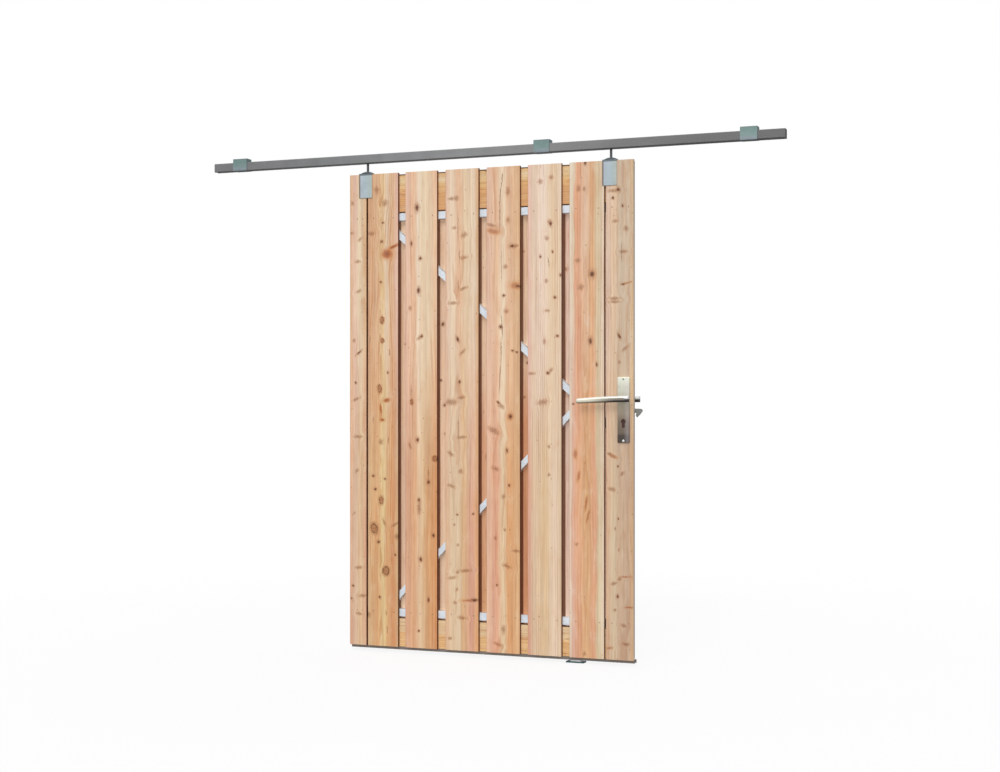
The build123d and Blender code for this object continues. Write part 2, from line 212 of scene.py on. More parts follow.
# ---------------------------------------------------------------- wood
def wood(name, lo, hi, upper, lower, pith, spacing=10.0, tilt=24.0, seed=0.0, knots=(), along="z",
         late=0.55, split=-1050.0, blend=500.0, wander=7.0, side=0.9, random_knots=0.0,
         late_tone=(178, 112, 66), pieces=None, fit_up=(1, 1, 1), fit_low=(1, 1, 1), outer=None, cap=None, warm=(), gap_shade_strips=()):
    """Planed softwood. lo, hi: the piece's width across the grain in mm. pith: (across, depth) of the
    ring centre behind the face. knots: (across, along, half width, half height, kind, turn in degrees)."""
    t = Tree(name)
    P, N = t.mm()
    x, y, z = t.xyz(P)
    a, l = (x, z) if along == "z" else (z, x)
    if pieces is not None:
        # several boards in one node: each gets its own stretch of the log
        p0, p1 = pieces[0][0] - 5, pieces[-1][1] + 5
        shift = t.ramp(t.mr(x, p0, p1, 0.0, 1.0, "LINEAR"),
                       [(max(0.0, (p[0] - 3 - p0) / (p1 - p0)), ((i * 0.37) % 1.0, (i * 0.61) % 1.0, (i * 0.23) % 1.0))
                        for i, p in enumerate(pieces)], "CONSTANT")
        l = t.m("MULTIPLY_ADD", t.xyz(shift)[0], 5300.0, l)
        sr, sg, sb = t.xyz(shift)
    seedv = seed * 137.0
    Q = t.vec(a, y, t.m("ADD", l, seedv))            # across, depth, along

    # slow wander of the grain
    w1 = t.noise(t.v("MULTIPLY", Q, (1 / 170, 1 / 170, 1 / 520)), 1.0, 2.0, 0.5)
    w2 = t.noise(t.v("MULTIPLY_ADD", Q, (1 / 34, 1 / 34, 1 / 150), (7.1, 3.3, 9.7)), 1.0, 2.0, 0.5)
    a1 = t.m("MULTIPLY_ADD", t.m("SUBTRACT", w1, 0.5), wander * 1.5, a)
    a1 = t.m("MULTIPLY_ADD", t.m("SUBTRACT", w2, 0.5), wander * 0.9, a1)

    # knots
    wk = t.noise(t.v("MULTIPLY", Q, (1 / 9, 1 / 9, 1 / 11)), 1.0, 2.0, 0.6, color=True)
    wk = t.v("MULTIPLY", t.v("SUBTRACT", wk, (0.5, 0.5, 0.5)), (9.0, 9.0, 0.0))
    K = t.v("ADD", t.vec(a, l, 0.0), wk)
    pull = None
    mins = {"d": None, "s": None, "k": None, "o": None, "c": None}
    for kx, kl, rx, rl, kind, ang in knots:
        grow = {"d": 1.0, "x": 1.0, "s": 1.3, "k": 0.95, "o": 1.3, "c": 1.0}[kind]
        rx, rl = rx * grow, max(rl * grow, 6.6 if kind == "s" else 0.5)
        D = t.v("SUBTRACT", K, (kx, kl, 0.0))
        if ang:
            ca, sa = math.cos(math.radians(ang)), math.sin(math.radians(ang))
            p = t.v("DOT_PRODUCT", D, (ca / rx, sa / rx, 0.0))
            q = t.v("DOT_PRODUCT", D, (-sa / rl, ca / rl, 0.0))
            L = t.m("SQRT", t.m("MULTIPLY_ADD", p, p, t.m("MULTIPLY", q, q)))
        else:
            L = t.v("LENGTH", t.v("MULTIPLY", D, (1.0 / rx, 1.0 / rl, 0.0)))
        key = "d" if kind in "dx" else kind
        L2 = t.m("MULTIPLY", L, 0.72) if kind == "x" else L
        mins[key] = L2 if mins[key] is None else t.m("MINIMUM", mins[key], L2)
        if kind != "c":
            reach = 2.6 if kind in "ko" else 3.4
            amp = {"d": 0.7, "x": 0.8, "s": 0.4, "k": 0.75, "o": 0.5}[kind]
            D = t.v("SCALE", D, s=t.mr(L, 0.5, reach, amp, 0.0))
            pull = D if pull is None else t.v("ADD", pull, D)
    if random_knots:
        vo = t.voronoi(t.v("MULTIPLY", t.v("ADD", t.vec(a, t.m("ADD", l, seedv), 0.0), wk), (1 / 150, 1 / 150, 0.0)))
        vo.voronoi_dimensions = "2D"
        pick, pr, pg = t.xyz(vo.outputs["Color"])
        size = t.mr(pr, 0.0, 1.0, 3.2, 8.5, "LINEAR")
        Ld = t.m("DIVIDE", t.m("MULTIPLY", vo.outputs["Distance"], 150.0), size)
        Ld = t.m("ADD", Ld, t.m("MULTIPLY", t.m("GREATER_THAN", pick, random_knots), 50.0))
        soft = t.m("GREATER_THAN", pg, 0.45)
        mins["d"] = t.m("ADD", Ld, t.m("MULTIPLY", soft, 50.0))
        mins["s"] = t.m("ADD", Ld, t.m("MULTIPLY", t.m("SUBTRACT", 1.0, soft), 50.0))
        off = t.v("SUBTRACT", t.v("MULTIPLY", t.vec(a, t.m("ADD", l, seedv), 0.0), (1 / 150, 1 / 150, 0.0)), vo.outputs["Position"])
        W = t.mr(Ld, 0.5, 3.5, 0.75, 0.0)
        pull = t.v("MULTIPLY", t.v("SCALE", off, s=W), (150.0, 0.0, 0.0))
    if pull is not None:
        a2 = t.m("SUBTRACT", a1, t.xyz(pull)[0])
    else:
        a2 = a1

    # growth rings round a pith that wanders behind the face
    tl = t.noise(t.v("MULTIPLY_ADD", Q, (0.0, 0.0, 1 / 640), (2.2, 5.1, 0.7)), 1.0, 1.0, 0.5)
    depth = t.m("MULTIPLY_ADD", t.m("SUBTRACT", tl, 0.5), tilt * 4.0, t.m("ADD", y, 18.0 + pith[1]))
    da = t.m("SUBTRACT", a2, pith[0])
    if pieces is not None:
        da = t.m("ADD", t.m("FLOORED_MODULO", t.m("ADD", a2, t.m("MULTIPLY", sg, 90.0)), 175.0), 20.0)
    r = t.m("SQRT", t.m("ADD", t.m("MULTIPLY", da, da), t.m("MULTIPLY", depth, depth)))
    ring = t.m("DIVIDE", r, spacing)
    fine = t.noise(t.v("MULTIPLY", Q, (1 / 5, 1 / 5, 1 / 90)), 1.0, 2.0, 0.5)
    ring = t.m("MULTIPLY_ADD", t.m("SUBTRACT", fine, 0.5), 0.5, ring)
    saw = t.m("FRACT", ring)
    ridx = t.m("FLOOR", ring)
    wn = t.new("ShaderNodeTexWhiteNoise", noise_dimensions="1D")
    t.put(wn.inputs["W"], t.m("ADD", ridx, seed * 3.0 + 0.5))
    rs = wn.outputs["Value"]
    late_m = t.m("MULTIPLY", t.mr(saw, 0.35, 0.86, 0.0, 1.0), t.mr(saw, 0.9, 1.0, 1.0, 0.0))
    late_m = t.m("MULTIPLY", late_m, t.mr(rs, 0.0, 1.0, 0.15, 1.0, "LINEAR"))
    # finer lines between the strong ones
    saw2 = t.m("FRACT", t.m("MULTIPLY", ring, 3.0))
    late2 = t.m("MULTIPLY", t.mr(saw2, 0.45, 0.9, 0.0, 1.0), t.mr(saw2, 0.92, 1.0, 1.0, 0.0))
    # lines fade in and out along the board
    fade = t.noise(t.v("MULTIPLY_ADD", Q, (1 / 28, 1 / 28, 1 / 300), (4.4, 1.1, 2.3)), 1.0, 2.0, 0.5)
    fade = t.mr(fade, 0.32, 0.68, 0.12, 1.0)

    # colour bands across the board, upper and lower half
    span = hi - lo
    u = t.m("DIVIDE", t.m("SUBTRACT", t.m("MULTIPLY_ADD", t.m("SUBTRACT", a2, a1), 0.6, a1), lo), span)
    u = t.m("MULTIPLY_ADD", t.m("SUBTRACT", w2, 0.5), 0.10, u)
    top = t.ramp(u, [(p, tone(c)) for p, c in upper], "EASE")
    if lower is not None:
        low = t.ramp(u, [(p, tone(c)) for p, c in lower], "EASE")
        mz = t.mr(t.m("MULTIPLY_ADD", t.m("SUBTRACT", w1, 0.5), 500.0, l), split - blend, split + blend, 1.0, 0.0)
        col = t.mix(mz, top, low)
    else:
        col = top
    # streaky variation of tone
    st = t.noise(t.v("MULTIPLY", t.vec(a2, y, t.m("ADD", l, seedv)), (1 / 7.5, 1 / 12, 1 / 420)), 1.0, 3.0, 0.6)
    col = t.mix(t.mr(st, 0.3, 0.72, 0.0, 1.0, "LINEAR"), t.mix(1.0, col, lin((236, 236, 238)), "MULTIPLY"),
                t.mix(0.35, col, lin((250, 236, 214)), "SOFT_LIGHT"))
    mot = t.noise(t.v("MULTIPLY_ADD", Q, (1 / 26, 1 / 26, 1 / 75), (1.3, 8.8, 4.1)), 1.0, 3.0, 0.6)
    col = t.mix(t.mr(mot, 0.5, 0.8, 0.0, 0.32), col, t.mix(1.0, col, lin((236, 205, 178)), "MULTIPLY"))
    col = t.mix(t.mr(mot, 0.5, 0.2, 0.0, 0.30), col, tone("cream"))
    # latewood
    lt = t.m("MULTIPLY", t.m("MULTIPLY", late_m, fade), late)
    col = t.mix(lt, col, t.mix(0.6, t.mix(1.0, col, lin((226, 182, 140)), "MULTIPLY"), lin(late_tone)))
    col = t.mix(t.m("MULTIPLY", t.m("MULTIPLY", late2, fade), late * 0.33), col, t.mix(1.0, col, lin((214, 176, 140)), "MULTIPLY"))
    # fibres
    fib = t.noise(t.v("MULTIPLY", t.vec(a2, y, l), (1 / 1.1, 1 / 1.1, 1 / 60)), 1.0, 2.0, 0.55)
    col = t.mix(t.mr(fib, 0.35, 0.75, 0.0, 0.22, "LINEAR"), col, t.mix(1.0, col, lin((222, 190, 160)), "MULTIPLY"))

    height = t.m("MULTIPLY_ADD", lt, -0.5, t.m("MULTIPLY", fib, 0.6))
    # resin, burls, knots, cracks
    kn = t.noise(t.v("MULTIPLY", Q, (1 / 3.2, 1 / 3.2, 1 / 5)), 1.0, 3.0, 0.65)
    if mins["o"] is not None:
        fo = t.m("MULTIPLY", t.mr(mins["o"], 0.45, 1.75, 1.0, 0.0), t.mr(kn, 0.25, 0.7, 0.75, 1.0))
        oc = t.ramp(t.m("MULTIPLY_ADD", t.m("SUBTRACT", kn, 0.5), 1.1, mins["o"]),
                    [(0.0, lin((128, 60, 24))), (0.4, lin((164, 84, 36))), (0.75, lin((184, 112, 58))), (1.0, lin((206, 150, 98)))])
        col = t.mix(t.m("MULTIPLY", fo, 0.98 if name == "board_2" else 0.7), col, oc)
    if mins["s"] is not None:
        fs = t.mr(t.m("MULTIPLY_ADD", t.m("SUBTRACT", kn, 0.5), 2.2, mins["s"]), 0.2, 1.75, 1.0, 0.0)
        col = t.mix(t.m("MULTIPLY", fs, 0.64), col, t.ramp(fs, [(0.0, lin((206, 152, 108))), (0.6, lin((172, 116, 74))), (1.0, lin((140, 90, 56)))]))
        height = t.m("MULTIPLY_ADD", fs, 0.5, height)
    if mins["k"] is not None:
        mk = t.m("MULTIPLY_ADD", t.m("SUBTRACT", kn, 0.5), 1.2, mins["k"])
        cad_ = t.mr(mk, 0.95, 1.7, 1.0, 0.0)
        kc = t.ramp(mk, [(0.0, lin((138, 82, 46))), (0.2, lin((190, 130, 82))), (0.42, lin((140, 84, 48))), (0.58, lin((208, 154, 106))),
                         (0.74, lin((116, 66, 38))), (0.86, lin((98, 54, 32))), (1.0, lin((186, 132, 88)))])
        col = t.mix(t.m("MULTIPLY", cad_, 0.95), col, kc)
        height = t.m("MULTIPLY_ADD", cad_, 0.8, height)
    if mins["d"] is not None:
        md = t.m("MULTIPLY_ADD", t.m("SUBTRACT", kn, 0.5), 0.9, mins["d"])
        fh = t.mr(md, 0.9, 2.7, 1.0, 0.0)
        col = t.mix(t.m("MULTIPLY", fh, 0.55), col, lin((176, 122, 84)))
        fd = t.mr(md, 0.5, 1.35, 1.0, 0.0)
        col = t.mix(t.m("MULTIPLY", fd, 0.9), col, t.ramp(md, [(0.0, lin((84, 52, 36))), (0.6, lin((106, 66, 44))), (1.0, lin((138, 92, 60)))]))
        height = t.m("MULTIPLY_ADD", fd, -0.8, height)
    if mins["c"] is not None:
        fc = t.mr(mins["c"], 0.65, 1.2, 1.0, 0.0)
        col = t.mix(t.m("MULTIPLY", fc, 0.62), col, lin((124, 76, 46)))
        height = t.m("MULTIPLY_ADD", fc, -1.5, height)
    # overall tone of this board, upper and lower part
    fit = t.mix(t.mr(z, -1400.0, -700.0, 0.0, 1.0), tuple(c ** 2.2 for c in fit_low) + (1.0,), tuple(c ** 2.2 for c in fit_up) + (1.0,))
    col = t.mix(1.0, col, fit, "MULTIPLY")
    # small specks
    vs = t.voronoi(t.v("MULTIPLY", t.v("ADD", t.vec(a, t.m("ADD", l, seedv), 0.0), wk), (1 / 62, 1 / 88, 0.0)))
    vs.voronoi_dimensions = "2D"
    cr_, cg_, cb_ = t.xyz(vs.outputs["Color"])
    sp = t.m("MULTIPLY", t.mr(vs.outputs["Distance"], 0.012, 0.045, 1.0, 0.0), t.m("GREATER_THAN", cr_, 0.62))
    col = t.mix(t.m("MULTIPLY", sp, 0.6), col, lin((142, 92, 60)))

    # painted shade: the side faces along the grain are darkened to a brown, standing in for the shade inside the gaps
    # between boards
    nx, ny, nz = t.xyz(N)
    edge = t.m("ABSOLUTE", nx if along == "z" else nz)
    edge_shade = t.mr(edge, 0.55, 0.95, 0.0, 1.0)
    if outer is not None:
        # the outermost edges of the leaf get a pale grey tone and none of the painted edge shade
        out_m = t.m("GREATER_THAN" if outer > 0 else "LESS_THAN", x, hi - 8 if outer > 0 else lo + 8)
        col = t.mix(t.m("MULTIPLY", t.m("MULTIPLY", edge_shade, out_m), 0.6), col, lin((226, 214, 196)))
        edge_shade = t.m("MULTIPLY", edge_shade, t.m("SUBTRACT", 1.0, out_m))
    col = t.mix(t.m("MULTIPLY", edge_shade, side), col, t.mix(1.0, col, lin((126, 80, 48)), "MULTIPLY"))
    if gap_shade_strips:
        # painted shade on the back boards next to the front boards' edges, where they lie in shadow, on the face that
        # looks into the leaf
        f = None
        for e0, e1 in gap_shade_strips:
            g = t.m("MULTIPLY", t.mr(x, e0 - 2.0, e0 + 2.0, 0.0, 1.0), t.mr(x, e1 - 2.0, e1 + 2.0, 1.0, 0.0))
            f = g if f is None else t.m("ADD", f, g)
        f = t.m("MULTIPLY", f, t.mr(ny, -0.9, -0.5, 0.9, 0.0))
        col = t.mix(f, col, lin((108, 62, 36)))
    for w0, w1, wz, wc, wf in warm:
        f = t.m("MULTIPLY", t.m("GREATER_THAN", x, w0), t.m("LESS_THAN", x, w1))
        f = t.m("MULTIPLY", f, t.mr(z, wz - 200, wz + 200, wf, 0.0))
        col = t.mix(f, col, t.mix(1.0, col, lin(wc), "MULTIPLY"))
    # painted shade: a dark line along the top of the top batten (cap), where it lies in shadow below the boards' tops
    if cap is not None:
        col = t.mix(t.mr(a, cap, cap + 1.5, 0.0, 0.9), col, lin((70, 52, 38)))
    end = t.m("ABSOLUTE", nz if along == "z" else nx)
    col = t.mix(t.mr(end, 0.6, 0.95, 0.0, 0.7), col, t.mix(1.0, col, lin((205, 165, 128)), "MULTIPLY"))
    rough = t.m("MULTIPLY_ADD", lt, -0.12, t.mr(fib, 0.2, 0.8, 0.6, 0.8, "LINEAR"))
    mat = t.finish(col, rough, 0.0, t.bump(height, 0.0005, 0.8), 0.3)
    return mat

# knots and marks of each front board: (across, along, half width, half height, kind, turn)
# kinds: d dark pin knot, x black knot, s soft brown knot, k ringed knot, o resin or burl, c fine crack
KNOTS = {
    1: [
        (-812, -210, 5.9, 7.3, "s", 0), (-815, -331, 6.3, 3.6, "s", 0), (-777, -356, 9.9, 3.6, "s", 45),
        (-786, -447, 12.6, 3.2, "s", 0), (-784, -567, 11.7, 4.0, "s", 20), (-804, -766, 5.4, 7.3, "s", 0),
        (-782, -815, 11.7, 3.6, "d", 38), (-797, -937, 3.6, 4.0, "d", 0), (-794, -1003, 15.3, 2.8, "s", 25),
        (-787, -1155, 16.2, 2.8, "s", 0), (-792, -1293, 8.1, 2.8, "s", 35), (-804, -1464, 3.6, 4.1, "s", 0),
        (-782, -1684, 15.3, 2.4, "s", 5), (-809, -1759, 4.1, 3.6, "d", 0), (-767, -1797, 16.1, 3.6, "s", 4),
        (-782, -1870, 12.6, 3.2, "s", -5), (-816, -1810, 3.6, 3.2, "d", 0),
    ],
    2: [
        (-704, -160, 8.5, 11.3, "s", 20), (-667, -215, 11.5, 10.5, "s", 25), (-676, -294, 4.4, 3.6, "d", 0),
        (-728, -335, 13.4, 7.3, "s", 0), (-681, -370, 4.9, 4.4, "d", 0), (-657, -420, 21.0, 17.0, "o", 0),
        (-629, -392, 20.0, 6.0, "o", 22), (-685, -533, 4.0, 4.4, "d", 0), (-679, -686, 9.3, 13.7, "k", 0),
        (-678, -768, 8.0, 9.7, "k", 0), (-647, -816, 2.2, 14.5, "c", 0), (-654, -897, 4.0, 4.0, "d", 0),
        (-690, -962, 9.8, 16.9, "k", 10), (-659, -1008, 13.3, 7.2, "o", 10), (-678, -1087, 8.9, 5.2, "o", 0),
        (-685, -1043, 4.0, 22.1, "o", 5), (-685, -1174, 8.0, 10.5, "s", 0), (-652, -1169, 2.0, 16.9, "c", 0),
        (-718, -1313, 4.9, 4.4, "d", 0), (-666, -1324, 4.4, 4.0, "d", 0), (-733, -763, 2.2, 18.2, "c", 0),
        (-719, -1087, 1.8, 16.1, "c", 0), (-709, -1366, 4.9, 5.2, "d", 0), (-683, -1410, 10.2, 16.1, "k", 0),
        (-714, -1524, 16.0, 22.6, "k", 15), (-670, -1499, 3.5, 14.5, "s", 20), (-622, -1506, 15.0, 3.6, "s", 35),
        (-613, -1554, 10.6, 9.6, "s", 0), (-695, -1578, 5.8, 5.2, "d", 0), (-621, -1628, 4.4, 3.6, "d", 0),
        (-662, -1693, 15.9, 18.5, "k", 0), (-690, -1800, 4.9, 5.2, "d", 0), (-661, -1862, 2.7, 10.4, "s", 0),
        (-657, -1930, 2.0, 18.1, "c", 0), (-738, -1873, 5.8, 8.9, "s", 0),
    ],
    3: [
        (-526, -240, 7.0, 12.8, "d", 0), (-550, -382, 3.9, 8.8, "d", 0), (-512, -443, 4.8, 6.4, "d", 0),
        (-519, -571, 6.5, 11.2, "d", 0), (-589, -660, 9.7, 10.4, "s", 0), (-556, -640, 5.2, 8.0, "s", 0),
        (-506, -753, 5.7, 6.0, "d", 0), (-517, -760, 10.5, 4.8, "s", 30), (-549, -1015, 7.0, 12.0, "k", 0),
        (-551, -971, 2.2, 20.0, "s", 0), (-524, -1166, 5.7, 8.0, "d", 0), (-556, -1190, 4.4, 9.6, "s", 20),
        (-448, -1240, 11.2, 11.9, "k", 0), (-476, -1334, 5.2, 7.2, "d", 0), (-476, -1301, 1.7, 19.9, "s", 0),
        (-517, -1406, 4.8, 6.4, "d", 0), (-516, -1438, 7.0, 19.9, "s", 0), (-455, -1545, 5.2, 7.5, "d", 0),
        (-510, -1642, 5.7, 8.0, "d", 0), (-476, -1802, 3.9, 8.0, "d", 0), (-582, -1544, 6.1, 12.0, "s", 0),
        (-518, -1928, 3.9, 4.0, "d", 0), (-591, -1110, 4.0, 10.4, "s", 0),
    ],
    4: [
        (-357, -211, 8.6, 7.9, "s", 0), (-377, -211, 12.0, 2.4, "s", 0), (-364, -327, 8.6, 4.3, "s", 0),
        (-322, -356, 11.1, 7.9, "s", 30), (-343, -439, 1.5, 29.6, "c", 0), (-324, -446, 12.8, 2.8, "s", 8),
        (-348, -553, 2.1, 17.8, "c", 0), (-326, -568, 15.3, 3.2, "s", 18), (-371, -624, 17.1, 2.8, "s", 0),
        (-350, -768, 4.7, 10.3, "d", 25), (-329, -818, 13.6, 4.7, "s", 45), (-342, -936, 4.3, 5.1, "d", 0),
        (-378, -1015, 21.4, 10.3, "s", 0), (-334, -997, 12.8, 2.8, "s", 8), (-332, -1154, 16.2, 2.8, "s", 4),
        (-380, -1220, 13.7, 4.7, "s", -35), (-338, -1289, 7.7, 7.1, "s", 40), (-378, -1347, 13.7, 3.2, "s", -20),
        (-352, -1460, 3.4, 3.2, "d", 0), (-364, -1500, 3.4, 4.0, "s", 0), (-284, -1455, 3.8, 4.3, "d", 0),
        (-350, -1580, 4.7, 2.8, "s", 20), (-350, -1687, 5.1, 3.9, "s", 0), (-319, -1680, 21.3, 2.4, "s", 5),
        (-376, -1710, 14.6, 4.0, "s", 10), (-354, -1755, 3.8, 5.1, "s", 0), (-279, -1794, 12.7, 5.5, "d", 5),
        (-302, -1797, 23.8, 3.9, "o", 3), (-362, -1808, 6.0, 3.2, "s", 20), (-331, -1866, 14.5, 3.9, "s", -8),
        (-383, -1951, 7.7, 3.2, "s", 0), (-348, -1118, 1.5, 55.3, "c", 0),
    ],
    5: [
        (-139, -194, 7.1, 14.8, "s", 0), (-137, -306, 5.8, 10.1, "s", 0), (-201, -347, 22.7, 9.4, "o", -12),
        (-207, -323, 19.3, 3.9, "s", -18), (-121, -408, 9.2, 6.2, "d", 0), (-105, -408, 10.8, 3.1, "s", 10),
        (-149, -487, 6.7, 7.0, "s", 0), (-96, -565, 10.0, 5.1, "d", 0), (-107, -562, 17.4, 11.7, "o", 0),
        (-155, -600, 5.0, 5.1, "d", 0), (-146, -661, 8.3, 7.0, "s", 0), (-169, -722, 5.4, 6.6, "d", 0),
        (-119, -816, 4.6, 3.9, "d", 0), (-101, -821, 4.6, 3.9, "d", 0), (-167, -1031, 12.5, 6.3, "s", -30),
        (-178, -1017, 7.5, 3.5, "d", -35), (-128, -1072, 10.8, 11.7, "o", -20), (-128, -1072, 6.2, 7.4, "d", -20),
        (-198, -1127, 22.7, 8.6, "s", -28), (-142, -1205, 4.6, 7.8, "d", 0), (-190, -1276, 12.6, 6.3, "s", -20),
        (-133, -1341, 4.2, 5.1, "d", 0), (-156, -1385, 6.7, 7.0, "s", 0), (-151, -1514, 3.3, 3.1, "s", 0),
        (-191, -1547, 5.0, 6.3, "s", 0), (-103, -1595, 14.9, 3.1, "s", 0), (-145, -1653, 6.7, 6.2, "s", 0),
        (-141, -1656, 15.0, 3.1, "s", -15), (-184, -1731, 3.8, 3.5, "d", 0), (-156, -1904, 6.7, 13.3, "s", 0),
        (-182, -1962, 14.2, 3.5, "s", -18),
    ],
    6: [
        (-5, -162, 9.0, 7.0, "s", 0), (40, -148, 7.3, 6.9, "s", 30), (38, -329, 4.9, 8.5, "d", 0), (33, -319, 5.7, 8.5, "s", 0),
        (22, -383, 6.5, 7.0, "s", 0), (46, -436, 3.3, 5.0, "d", 0), (-4, -453, 3.7, 5.0, "d", 0), (20, -548, 6.5, 6.2, "s", 0),
        (55, -612, 5.3, 4.6, "d", 0), (24, -663, 7.8, 5.0, "s", 0), (78, -527, 3.7, 5.0, "d", 0), (65, -761, 5.7, 4.2, "d", 0),
        (12, -781, 4.9, 8.5, "s", 0), (-40, -905, 11.5, 3.5, "s", 0), (27, -904, 5.3, 5.0, "d", 0),
        (39, -892, 9.0, 2.7, "s", 40), (4, -1016, 16.4, 8.5, "s", 10), (31, -1188, 4.9, 6.2, "s", 0),
        (31, -1296, 5.3, 3.5, "s", 0), (29, -475, 1.4, 23.2, "c", 8),
    ],
    7: [
        (178, -100, 4.4, 7.7, "d", 0), (151, -197, 6.4, 10.7, "s", 0), (174, -201, 4.4, 7.3, "s", 0),
        (205, -527, 6.8, 8.4, "x", 0), (147, -473, 8.1, 6.9, "s", 0), (160, -576, 9.7, 9.2, "s", 0),
        (199, -783, 4.8, 8.4, "x", 0), (224, -872, 3.6, 7.3, "d", 0), (130, -1024, 4.0, 3.1, "d", 0),
        (138, -1215, 7.3, 17.3, "o", 0), (151, -1300, 6.0, 19.2, "o", -10), (182, -1402, 5.0, 30.0, "o", -8),
        (189, -1453, 4.5, 26.0, "o", -12), (143, -1561, 5.6, 3.8, "s", 0), (175, -1979, 6.0, 7.7, "s", 0),
    ],
    8: [
        (309, -209, 6.7, 7.6, "d", 0), (287, -212, 15.9, 4.6, "s", 0), (288, -239, 4.4, 4.6, "d", 0),
        (327, -271, 3.6, 6.1, "d", 0), (298, -328, 8.7, 4.6, "s", 0), (340, -357, 7.1, 9.1, "s", 35),
        (331, -445, 12.6, 3.4, "s", 0), (323, -443, 1.2, 41.7, "c", 0), (329, -568, 6.3, 3.8, "d", 0),
        (346, -564, 17.3, 3.0, "o", 12), (294, -622, 17.8, 1.9, "s", 0), (294, -634, 17.8, 1.9, "s", 0),
        (314, -766, 4.0, 9.9, "d", 25), (336, -813, 13.4, 4.6, "s", 45), (314, -864, 4.0, 3.4, "s", 0),
        (290, -1222, 15.9, 6.0, "o", -22), (277, -1213, 8.7, 3.8, "s", -25), (309, -1260, 3.2, 3.8, "d", 0),
        (325, -1289, 9.5, 3.0, "s", 45), (284, -1347, 12.7, 5.7, "s", -12), (310, -1459, 2.8, 3.4, "d", 0),
        (298, -1497, 2.8, 2.7, "s", 0), (312, -1577, 2.4, 2.7, "s", 0), (339, -1679, 17.3, 2.7, "o", 2),
        (315, -1688, 6.3, 4.5, "s", 35), (293, -1706, 10.3, 4.2, "s", 12), (307, -1754, 4.4, 6.1, "d", 0),
        (353, -1794, 14.2, 3.8, "o", 3), (298, -1807, 6.3, 4.6, "s", 0), (331, -1864, 11.0, 4.5, "s", -12),
        (276, -1952, 10.3, 4.2, "o", 10), (339, -1934, 11.0, 2.3, "s", -8),
    ],
}
KNOTS[4] += [(-349, -330, 1.3, 70, "c", 0)]
KNOTS[5] += [(-163, -150, 2.6, 34, "c", -6), (-171, -215, 2.4, 46, "c", -4), (-172, -300, 1.8, 60, "c", 0), (-166, -470, 1.2, 80, "c", 0),
             (-163, -720, 2.2, 52, "c", 3), (-167, -820, 2.4, 60, "c", 0), (-172, -925, 2.0, 62, "c", -3)]

BOARDS = {
    1: dict(upper=[(0.0, "tan"), (0.3, "pink"), (0.62, "pale"), (1.0, "tan")],
            lower=[(0.0, "rose"), (0.35, "pink"), (0.65, "peach"), (1.0, "rose")], pith=(-760, 30), spacing=9.0, tilt=20, late=0.38),
    2: dict(upper=[(0.0, "brown"), (0.28, "tan"), (0.5, "gold"), (0.62, "pale"), (0.78, "tan"), (1.0, "pink")],
            lower=[(0.0, "tan"), (0.3, "orange"), (0.52, "gold"), (0.66, "orange"), (0.85, "deep"), (1.0, "tan")],
            pith=(-684, 10), spacing=8.5, tilt=30, late=0.85, wander=9),
    3: dict(upper=[(0.0, "pink"), (0.28, "peach"), (0.42, "cream"), (0.53, "pale"), (0.72, "pale"), (1.0, "peach")],
            lower=[(0.0, "pink"), (0.3, "peach"), (0.44, "cream"), (0.55, "pale"), (0.7, "tan"), (1.0, "orange")],
            pith=(-500, 46), spacing=9.5, tilt=14, late=0.42, wander=4),
    4: dict(upper=[(0.0, "pink"), (0.2, "cream"), (0.42, "peach"), (0.6, "pale"), (0.85, "cream"), (1.0, "tan")],
            lower=[(0.0, "peach"), (0.25, "pale"), (0.42, "pale"), (0.55, "tan"), (0.8, "rose"), (1.0, "orange")],
            pith=(-350, 40), spacing=10.0, tilt=18, late=0.36, wander=5),
    5: dict(upper=[(0.0, "pink"), (0.3, "peach"), (0.5, "cream"), (0.62, "peach"), (1.0, "tan")],
            lower=[(0.0, "pink"), (0.3, "rose"), (0.5, "pale"), (0.66, "orange"), (1.0, "tan")],
            pith=(-176, 34), spacing=10.5, tilt=20, late=0.40, wander=6),
    6: dict(upper=[(0.0, "pink"), (0.18, "pale"), (0.42, "cream"), (0.75, "yellow"), (1.0, "pale")],
            lower=[(0.0, "rose"), (0.2, "pale"), (0.5, "yellow"), (0.8, "cream"), (1.0, "pale")],
            pith=(150, 70), spacing=7.5, tilt=10, late=0.46, wander=3),
    7: dict(upper=[(0.0, "cream"), (0.1, "pale"), (0.2, "salmon"), (0.48, "peach"), (0.66, "orange"), (0.80, (217, 192, 152)), (1.0, (232, 204, 172))],
            lower=[(0.0, "cream"), (0.1, "rose"), (0.24, "salmon"), (0.5, "orange"), (0.72, "salmon"), (0.84, (217, 190, 150)), (1.0, (232, 202, 170))],
            pith=(178, 4), spacing=11.0, tilt=26, late=0.72, wander=8, split=-760),
    8: dict(upper=[(0.0, "pink"), (0.3, "peach"), (0.5, "grey_tan"), (0.8, "grey_tan"), (1.0, "tan")],
            lower=[(0.0, "peach"), (0.3, "pale"), (0.5, "grey_tan"), (0.8, "grey_tan"), (1.0, "tan")],
            pith=(330, 40), spacing=9.5, tilt=18, late=0.4, wander=5),
}
FIT_UP = {1: (1.02, 1.03, 1.06), 2: (1.01, 1.01, 1.06), 3: (1.02, 1.02, 1.05), 4: (1.0, 0.99, 1.01),
          5: (1.01, 1.01, 1.03), 6: (1.02, 1.02, 1.09), 7: (1.0, 1.03, 1.09), 8: (0.99, 1.04, 1.09)}
FIT_LOW = {1: (0.97, 0.99, 0.98), 2: (0.99, 1.01, 1.02), 3: (0.97, 0.91, 0.87), 4: (0.98, 0.97, 0.98),
           5: (1.0, 0.98, 0.97), 6: (0.98, 0.96, 0.98), 7: (0.99, 1.03, 1.08), 8: (0.94, 0.94, 0.96)}
